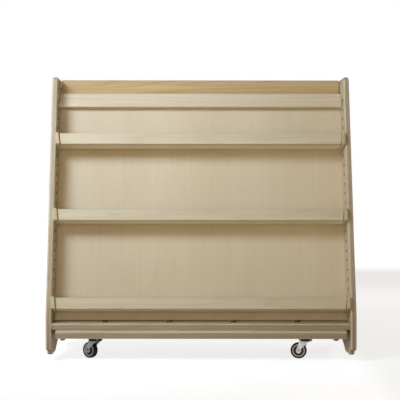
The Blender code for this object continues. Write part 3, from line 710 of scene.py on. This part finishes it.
def make_side_panels():
    """The side panels, with hand holes, rows of holes for the shelf pegs, and sleeves in the free holes."""
    hand_hole_up = own_box("front_top_rail", SLOPE)[0].z + HAND_HOLE_RISE
    last = hand_hole_up - HAND_HOLE_HEIGHT / 2 - PIN_HOLE_RADIUS - PIN_HOLE_MARGIN
    first = own_peg("front_low_left_cheek").z
    pin_holes = 1 + int((last - first) / PIN_HOLE_PITCH)
    for side, name in ((-1, "left_side_panel"), (1, "right_side_panel")):
        middle = Matrix.Translation((side * (INNER_X + PANEL_THICKNESS / 2), 0, 0))
        panel = rounded_slab(side_panel_outline(), PANEL_THICKNESS, PANEL_EDGE_ROUND,
                             middle @ DEPTH_AND_HEIGHT)
        cuts = []
        ends = []
        free = []
        for half, slope in SLOPES.items():
            hole = slope @ Matrix.Translation((0, HAND_HOLE_INSET, hand_hole_up)) @ DEPTH_AND_HEIGHT
            cuts.append((extruded(hand_hole_outline(), THROUGH * INNER_X, hole), "DIFFERENCE"))
            for index in range(pin_holes):
                up = first + index * PIN_HOLE_PITCH
                spot = slope @ Vector((0, PIN_HOLE_INSET, up))
                ends.append((side * (INNER_X - PIN_HOLE_DEPTH), side * (INNER_X + PIN_HOLE_DEPTH),
                             spot.y, spot.z, PIN_HOLE_RADIUS))
                if not behind_cheek(half, up):
                    free.append((side * INNER_X, spot.y, spot.z))
        panel = round_rims(carved(panel, *cuts), HAND_HOLE_ROUND)
        bores = ridge_tenons(RIDGE_TENON_RADIUS + CLEARANCE, CLEARANCE)
        panel = carved(panel, (rods(ends), "DIFFERENCE"), (bores, "DIFFERENCE"))
        piece(name + "_wood", panel, "frame", "panel_wood", nodes=[name])
        piece(name + "_sleeves", repeated(hole_sleeve(side), free), "frame", None, "sleeve_brown_and_shade")


def rounded_board(low, high, rounds):
    """A board whose long edges have radii of their own: top front, low front, low rear, top rear."""
    corners = [(low.y, high.z), (low.y, low.z), (high.y, low.z), (high.y, high.z)]
    middle = Matrix.Translation(((low.x + high.x) / 2, 0, 0))
    return rounded_slab(filleted(list(zip(corners, rounds))), high.x - low.x,
                        END_ROUND_SHARE * min(rounds), middle @ DEPTH_AND_HEIGHT)


def make_board(node, slot, place=Matrix.Identity(4), rounds=BOARD_ROUNDS, material=None):
    """A rounded board in the space of a CAD board."""
    board = rounded_board(*own_box(node, place), rounds)
    piece(node + "_wood", board, "frame", slot, material, [node], place)


def make_flat_boards():
    """The ridge board with its tenons, the base board and the caster boards."""
    low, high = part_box("ridge_board")
    high.x = INNER_X - RIDGE_END_GAP
    low.x = -high.x
    ridge = rounded_board(low, high, RIDGE_ROUNDS)
    ridge = carved(ridge, (ridge_tenons(RIDGE_TENON_RADIUS, 0.0), "UNION"))
    piece("ridge_board_wood", ridge, "frame", "ridge_wood", nodes=["ridge_board"])
    make_board("base_board", "rail_wood", rounds=BASE_ROUNDS, material="base_wood")
    for half, turn in HALVES.items():
        make_board(half + "_caster_board", "rail_wood", turn, CASTER_BOARD_ROUNDS, "base_wood")


def own_peg(node):
    """The middle of a cheek's peg in its slope's own frame, found by what lies in the side panel."""
    inverse = SLOPES[node.split("_")[0]].inverted()
    corners = [inverse @ vertex.co for vertex in frame["nodes"][node].data.vertices]
    inside = [corner for corner in corners if abs(corner.x) > INNER_X + PEG_LENGTH / 2]
    return sum(inside, Vector()) / len(inside)


def tapered(bm, reach_at):
    """Moves each end of a solid along X to the reach that belongs to its height."""
    for vertex in bm.verts:
        vertex.co.x = math.copysign(reach_at(vertex.co.z), vertex.co.x)
    return bm


def make_shelf(shelf, slope):
    """A tilted shelf: a board with a thicker nose, a lip, and a wedge-shaped cheek at each end."""
    lip_low, lip_high = own_box(shelf + "_shelf_lip", slope)
    board_low, board_high = own_box(shelf + "_shelf_board", slope)
    cheek_low, cheek_high = own_box(shelf + "_left_cheek", slope)
    cheek_outside = INNER_X - CLEARANCE

    def cheek_inside(up):
        return cheek_outside - CHEEK_TOP_THICKNESS - CHEEK_TAPER * (cheek_high.z - up)

    def shelf_reach(up):
        return cheek_inside(up) - CLEARANCE

    def lip_reach(up):
        return cheek_inside(up) - LIP_END_GAP

    lip = tapered(box((-1, lip_low.y, lip_low.z), (1, lip_high.y, lip_high.z)), lip_reach)
    piece(shelf + "_shelf_lip_wood", round_rims(lip, LIP_ROUND), "frame", "lip_wood",
          nodes=[shelf + "_shelf_lip"], place=slope)

    nose_back = lip_low.y + SHELF_NOSE_DEPTH
    step = board_high.z - SHELF_BOARD_THICKNESS
    section = [(board_low.y, board_high.z), (board_low.y, board_low.z), (nose_back, board_low.z),
               (nose_back, step), (board_high.y, step), (board_high.y, board_high.z)]
    board = tapered(extruded(section, 1.0, DEPTH_AND_HEIGHT), shelf_reach)
    piece(shelf + "_shelf_board_wood", round_rims(board, SHELF_ROUND), "frame", "shelf_wood",
          nodes=[shelf + "_shelf_board"], place=slope)

    outline = filleted([
        ((cheek_low.y, cheek_high.z), CHEEK_CORNER_RADIUS), ((cheek_low.y, cheek_low.z), CHEEK_FOOT_RADIUS),
        ((PIN_HOLE_INSET + CHEEK_BEHIND_PEG, cheek_low.z), CHEEK_FOOT_RADIUS),
        ((cheek_high.y, step), CHEEK_FOOT_RADIUS), ((cheek_high.y, cheek_high.z), CHEEK_FOOT_RADIUS)])
    for side, side_name in ((-1, "left"), (1, "right")):
        node = shelf + "_" + side_name + "_cheek"
        middle = side * (cheek_outside - CHEEK_TOP_THICKNESS / 2)
        cheek = rounded_slab(outline, CHEEK_TOP_THICKNESS, CHEEK_ROUND,
                             Matrix.Translation((middle, 0, 0)) @ DEPTH_AND_HEIGHT)
        for vertex in cheek.verts:
            if vertex.co.x * side < middle * side:
                vertex.co.x -= side * CHEEK_TAPER * (cheek_high.z - vertex.co.z)
        peg = own_peg(node)
        rod = rods([(middle, side * (INNER_X + PEG_LENGTH), peg.y, peg.z, PEG_RADIUS)])
        piece(node + "_wood", carved(cheek, (rod, "UNION")), "frame", "lip_wood", "cheek_wood",
              [node], slope)


def make_sloping_boards():
    """Each half's display panel, top rail, cleat and shelves."""
    for half, slope in SLOPES.items():
        make_board(half + "_display_panel", "display_wood", slope, DISPLAY_ROUNDS)
        make_board(half + "_top_rail", "rail_wood", slope)
        make_board(half + "_display_cleat", "rail_wood", slope)
        for level in LEVELS:
            make_shelf(half + "_" + level, slope)


def repeated(bm, places):
    """Copies of a solid at several places, as one mesh."""
    mesh = bpy.data.meshes.new("one")
    bm.to_mesh(mesh)
    bm.free()
    group = bmesh.new()
    for spot in places:
        start = len(group.verts)
        group.from_mesh(mesh)
        group.verts.ensure_lookup_table()
        bmesh.ops.translate(group, vec=spot, verts=group.verts[start:])
    bpy.data.meshes.remove(mesh)
    return group


def hexagon(radius):
    return [(radius * math.cos(math.pi * i / 3), radius * math.sin(math.pi * i / 3)) for i in range(6)]


def make_base_bolts():
    """Bronze bolt heads with hexagon sockets, in a row along each edge of the base board."""
    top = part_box("base_board")[1].z
    head = turned(filleted([
        ((0, 0), 0.0), ((BOLT_RADIUS, 0), BOLT_HEIGHT * BOLT_FOOT_ROUND_SHARE),
        ((BOLT_RADIUS, BOLT_HEIGHT), BOLT_HEIGHT * DOME_SHARE), ((0, BOLT_HEIGHT), 0.0)]), SMALL_STEPS * 2)
    socket = extruded(hexagon(BOLT_SOCKET_RADIUS), 2 * BOLT_SOCKET_DEPTH,
                      Matrix.Translation((0, 0, BOLT_HEIGHT)))
    head = carved(head, (socket, "DIFFERENCE"))
    places = [(x, -HALF_DEPTH + BOLT_SETBACK, top) for x in BOLT_PLACES_X]
    group = repeated(head, places)
    for half, turn in HALVES.items():
        piece(half + "_base_bolts", group.copy(), "frame", None, "bronze_bolt", place=turn)
    group.free()


def tapping_screw():
    """A pan head with a cross recess, hanging from its seat at the origin."""
    head = turned(filleted([
        ((0, 0), 0.0), ((0, -SCREW_HEIGHT), 0.0),
        ((SCREW_RADIUS, -SCREW_HEIGHT), SCREW_HEIGHT * DOME_SHARE), ((SCREW_RADIUS, 0), 0.0)]), SMALL_STEPS)
    for length, width in ((RECESS_LENGTH, RECESS_WIDTH), (RECESS_WIDTH, RECESS_LENGTH)):
        slot = box((-length / 2, -width / 2, -2 * SCREW_HEIGHT),
                   (length / 2, width / 2, -SCREW_HEIGHT + RECESS_DEPTH))
        head = carved(head, (slot, "DIFFERENCE"))
    return head


def make_caster_plate(name, place):
    """The fixed plate with its four screws, and the race and kingpin under it."""
    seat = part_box(name + "_plate")[1].z - PLATE_THICKNESS
    half = PLATE_SIZE / 2
    corners = [(half, half), (-half, half), (-half, -half), (half, -half)]
    square = filleted([(corner, PLATE_CORNER_RADIUS) for corner in corners])
    plate = extruded(square, PLATE_THICKNESS, Matrix.Translation((0, 0, seat + PLATE_THICKNESS / 2)))
    plate = round_rims(plate, PLATE_THICKNESS * PLATE_ROUND_SHARE, PLATE_ROUND_SEGMENTS)
    piece(name + "_plate_zinc", plate, "frame", "zinc_plate", nodes=[name + "_plate"], place=place)

    crown_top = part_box(name + "_fork")[1].z
    race_bottom = crown_top + SWIVEL_GAP
    head_top = crown_top - FORK_THICKNESS - RUNNING_GAP
    profile = filleted([
        ((0, seat), 0.0), ((RACE_RADIUS, seat), 0.0), ((RACE_RADIUS, (seat + race_bottom) / 2), RACE_ROUND),
        ((RACE_WAIST, race_bottom), RACE_WAIST_ROUND), ((KINGPIN_RADIUS, race_bottom), 0.0),
        ((KINGPIN_RADIUS, head_top), 0.0), ((KINGPIN_HEAD_RADIUS, head_top), 0.0),
        ((KINGPIN_HEAD_RADIUS, head_top - KINGPIN_HEAD_HEIGHT), KINGPIN_HEAD_HEIGHT * DOME_SHARE),
        ((0, head_top - KINGPIN_HEAD_HEIGHT), 0.0)])
    # The race is black: partly a dark seal, partly painted shade between the plate and the fork
    piece(name + "_race", turned(profile), "frame", None, "seal_black_and_shade", place=place)

    reach = SCREW_PITCH / 2
    spots = [(x, y, seat) for x in (-reach, reach) for y in (-reach, reach)]
    piece(name + "_plate_screws", repeated(tapping_screw(), spots), "frame", "bright_steel", place=place)


def fork_side(trail, crown_top):
    """The fork's side: a flat crown that sweeps down to a round boss at the axle."""
    shoulder = crown_top - 2 * FORK_THICKNESS
    above = crown_top + FORK_THICKNESS
    reach = FORK_CROWN_LENGTH / 2
    points = [Vector((-reach, shoulder)), Vector((-reach, above)), Vector((reach, above)),
              Vector((reach, shoulder))]
    boss = Vector((trail, WHEEL_RADIUS))
    for step in range(SMALL_STEPS + 1):
        angle = FORK_BOSS_START - FORK_BOSS_SWEEP * step / SMALL_STEPS
        points.append(boss + FORK_BOSS_RADIUS * Vector((math.cos(angle), math.sin(angle))))
    start, end = points[-1], points[0]
    inward = (end - start).orthogonal().normalized()
    if inward.y < 0:
        inward.negate()
    bend = (start + end) / 2 + inward * FORK_WAIST
    for step in range(1, FILLET_STEPS):
        t = step / FILLET_STEPS
        points.append(start * (1 - t) ** 2 + bend * 2 * t * (1 - t) + end * t ** 2)
    return points


def make_fork(name, body, place, trail):
    """A fork pressed from a strip, cut to its side outline and bored, with a black skirt at its head, partly
    painted shade under the plate.
    """
    crown_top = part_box(name + "_fork")[1].z
    outside = FORK_INSIDE + FORK_THICKNESS
    under = crown_top - FORK_THICKNESS
    inner_bend = FORK_BEND_RADIUS - FORK_THICKNESS
    section = filleted([
        ((-outside, 0), 0.0), ((-outside, crown_top), FORK_BEND_RADIUS),
        ((outside, crown_top), FORK_BEND_RADIUS), ((outside, 0), 0.0), ((FORK_INSIDE, 0), 0.0),
        ((FORK_INSIDE, under), inner_bend), ((-FORK_INSIDE, under), inner_bend), ((-FORK_INSIDE, 0), 0.0)])
    strip = extruded(section, THROUGH * FORK_CROWN_LENGTH, DEPTH_AND_HEIGHT)
    side = extruded(fork_side(trail, crown_top), THROUGH * outside, Matrix.Rotation(math.pi / 2, 4, "X"))
    pin_radius = KINGPIN_RADIUS + RUNNING_GAP
    pin_bore = turned([(0, crown_top + outside), (pin_radius, crown_top + outside),
                       (pin_radius, under - outside), (0, under - outside)], SMALL_STEPS)
    reach = outside + FORK_THICKNESS
    axle_bore = rods([(-reach, reach, 0.0, WHEEL_RADIUS, AXLE_RADIUS + CLEARANCE)])
    bmesh.ops.transform(axle_bore, verts=axle_bore.verts,
                        matrix=Matrix.Translation((trail, 0, 0)) @ Matrix.Rotation(math.pi / 2, 4, "Z"))
    fork = carved(strip, (side, "INTERSECT"), (pin_bore, "DIFFERENCE"), (axle_bore, "DIFFERENCE"))
    piece(name + "_fork_zinc", fork, body, "zinc_plate", nodes=[name + "_fork"], place=place)

    bore = KINGPIN_HEAD_RADIUS + RUNNING_GAP
    low = crown_top - SKIRT_DROP
    skirt = turned(filleted([
        ((bore, low), 0.0), ((SKIRT_RADIUS, low), SKIRT_ROUND), ((SKIRT_RADIUS, crown_top), SKIRT_ROUND),
        ((bore, crown_top), 0.0)]))
    piece(name + "_fork_skirt", skirt, body, None, "seal_black_and_shade", place=place)


def make_axle(name, body, place):
    """A bolt through the fork, with a washer and a hexagon at each end."""
    seat = FORK_INSIDE + FORK_THICKNESS + CLEARANCE
    axle = turned([(0, seat), (AXLE_RADIUS, seat), (AXLE_RADIUS, -seat), (0, -seat)], SMALL_STEPS)
    for way in (1, -1):
        washer = turned(filleted([
            ((0, way * (seat - AXLE_OVERLAP)), 0.0), ((WASHER_RADIUS, way * seat), 0.0),
            ((WASHER_RADIUS, way * (seat + WASHER_THICKNESS)), WASHER_THICKNESS * WASHER_ROUND_SHARE),
            ((0, way * (seat + WASHER_THICKNESS)), 0.0)]), SMALL_STEPS)
        middle = way * (seat + WASHER_THICKNESS + NUT_HEIGHT / 2)
        nut = extruded(hexagon(NUT_RADIUS), NUT_HEIGHT + 2 * AXLE_OVERLAP,
                       Matrix.Translation((0, 0, middle - way * AXLE_OVERLAP)))
        nut = round_rims(nut, NUT_HEIGHT * NUT_ROUND_SHARE, NUT_ROUND_SEGMENTS)
        axle = carved(axle, (washer, "UNION"), (nut, "UNION"))
    piece(name + "_axle_bolt", axle, body, "bright_steel", nodes=[name + "_axle"], place=place)


def both_sides(upper):
    """A profile's upper half, followed by its mirror image below."""
    return upper + [((radius, -height), rounding) for (radius, height), rounding in reversed(upper)]


def make_wheel(name, body, place):
    """The wheel's hub with its web, the rim, and the tyre round it."""
    bore = AXLE_RADIUS + RUNNING_GAP
    rim_inside = RIM_RADIUS - RIM_THICKNESS
    hub = [((bore, HUB_REACH), 0.0), ((HUB_RADIUS, HUB_REACH), HUB_ROUND),
           ((HUB_RADIUS, WEB_WIDTH / 2), HUB_FILLET), ((rim_inside, WEB_WIDTH / 2), 0.0)]
    # Painted shade: the hub and web inside the rim take a dark brown
    piece(name + "_wheel_hub", turned(filleted(both_sides(hub))), body, None, "hub_shade_brown", place=place)
    rim = [((rim_inside, RIM_WIDTH / 2), RIM_INNER_ROUND), ((RIM_RADIUS, RIM_WIDTH / 2), RIM_OUTER_ROUND)]
    piece(name + "_wheel_rim", turned(filleted(both_sides(rim))), body, "wheel_grey",
          nodes=[name + "_wheel"], place=place)
    seat = RIM_RADIUS + CLEARANCE
    side = WHEEL_WIDTH / 2
    shoulder = WHEEL_RADIUS - TREAD_CROWN
    tyre = [((seat, side), TYRE_BEAD_ROUND), ((shoulder, side), TYRE_SHOULDER),
            ((WHEEL_RADIUS, 0), CROWN_RADIUS),
            ((shoulder, -side), TYRE_SHOULDER), ((seat, -side), TYRE_BEAD_ROUND)]
    piece(name + "_tyre_tread", turned(filleted(tyre)), body, "tyre_rubber",
          nodes=[name + "_tyre"], place=place)


def make_casters():
    joints = {joint["name"]: joint for joint in frame["joints"]}
    for corner in ("front_left", "front_right", "rear_left", "rear_right"):
        swivel = Vector(joints[corner + "_swivel_turn"]["pos_m"])
        axle = Vector(joints[corner + "_wheel_spin"]["pos_m"])
        trail = Vector((axle.x - swivel.x, axle.y - swivel.y))
        ground = Matrix.Translation((swivel.x, swivel.y, 0))
        turn = ground @ Matrix.Rotation(math.atan2(trail.y, trail.x), 4, "Z")
        hub = Matrix.Translation((trail.length, 0, WHEEL_RADIUS))
        spin = turn @ hub @ Matrix.Rotation(math.pi / 2, 4, "X")
        name = corner + "_caster"
        make_caster_plate(name, ground)
        make_fork(name, corner + "_swivel", turn, trail.length)
        make_axle(name, corner + "_swivel", spin)
        make_wheel(name, corner + "_wheel", spin)


def seen_directly(tree):
    """1 for rays from the camera, mirrors and glass, otherwise 0."""
    path = tree.nodes.new("ShaderNodeLightPath").outputs
    either = path["Is Camera Ray"]
    for name in ("Is Glossy Ray", "Is Transmission Ray"):
        join = tree.nodes.new("ShaderNodeMath")
        join.operation = "MAXIMUM"
        tree.links.new(either, join.inputs[0])
        tree.links.new(path[name], join.inputs[1])
        either = join.outputs[0]
    return either


def make_world():
    """White where it is seen, and a dim even light elsewhere."""
    world = bpy.data.worlds.new("studio")
    bpy.context.scene.world = world
    world.use_nodes = True
    tree = world.node_tree
    choice = tree.nodes.new("ShaderNodeMix")
    choice.data_type = "RGBA"
    choice.inputs[6].default_value = AMBIENT
    choice.inputs[7].default_value = (1.0, 1.0, 1.0, 1.0)
    tree.links.new(seen_directly(tree), choice.inputs[0])
    tree.links.new(choice.outputs[2], tree.nodes["Background"].inputs["Color"])


def make_floor():
    """A pale floor that keeps the trolley's shadow and is white where nothing shades it, but for a painted
    shadow at the right.
    """
    bm = bmesh.new()
    bmesh.ops.create_grid(bm, x_segments=1, y_segments=1, size=FLOOR_SIZE / 2)
    floor = loose_object("floor", bm)
    tree = Tree("pale_floor")
    seen = seen_directly(tree.material.node_tree)
    tree.put(tree.shader.inputs["Base Color"], tree.mix(seen, FLOOR_BOUNCE, FLOOR_COLOUR))
    tree.put(tree.shader.inputs["Roughness"], 1.0)
    tree.put(tree.shader.inputs["Specular IOR Level"], 0.0)
    distance = tree.add("ShaderNodeVectorMath", {0: tree.place}, output="Value", operation="LENGTH")
    glow = tree.remap(distance, FLOOR_GLOW_NEAR, FLOOR_GLOW_FAR, FLOOR_GLOW, 1.0)
    # Painted shadow: a grey patch on the floor at the right of the trolley
    across = tree.remap(tree.coordinate("X"), *FLOOR_PAINTED_SHADOW_ACROSS)
    back = tree.remap(tree.coordinate("Y"), *FLOOR_PAINTED_SHADOW_BACK)
    shade = tree.math("MULTIPLY", tree.math("MULTIPLY", across, back), FLOOR_PAINTED_SHADOW)
    glow = tree.math("MINIMUM", glow, tree.math("SUBTRACT", 1.0, shade))
    tree.put(tree.shader.inputs["Emission Color"], (1.0, 1.0, 1.0, 1.0))
    tree.put(tree.shader.inputs["Emission Strength"], tree.math("MULTIPLY", glow, seen))
    floor.data.materials.append(tree.material)


def make_lights():
    for name, values in LIGHTS.items():
        light = bpy.data.lights.new(name, "AREA")
        light.shape = "RECTANGLE"
        light.size, light.size_y = values["size"]
        light.spread = math.radians(values["spread"])
        light.energy = values["power"]
        light.color = values["colour"]
        lamp = bpy.data.objects.new(name, light)
        place = Vector(values["place"])
        lamp.location = place
        lamp.rotation_euler = (Vector(values["aim"]) - place).to_track_quat("-Z", "Y").to_euler()
        bpy.context.scene.collection.objects.link(lamp)


def make_camera():
    """Level and square to the front, as far away as the photograph's perspective says."""
    data = bpy.data.cameras.new("camera")
    data.lens = CAMERA_LENS
    data.shift_x, data.shift_y = CAMERA_SHIFT
    camera = bpy.data.objects.new("camera", data)
    camera.matrix_world = (Matrix.Translation(CAMERA_PLACE) @ Matrix.Rotation(math.pi / 2, 4, "X")
                           @ Matrix.Rotation(CAMERA_ROLL, 4, "Z"))
    bpy.context.scene.collection.objects.link(camera)
    bpy.context.scene.camera = camera


make_side_panels()
make_flat_boards()
make_sloping_boards()
make_base_bolts()
make_casters()
make_world()
make_floor()
make_lights()
make_camera()
bpy.context.scene.view_settings.view_transform = "Standard"
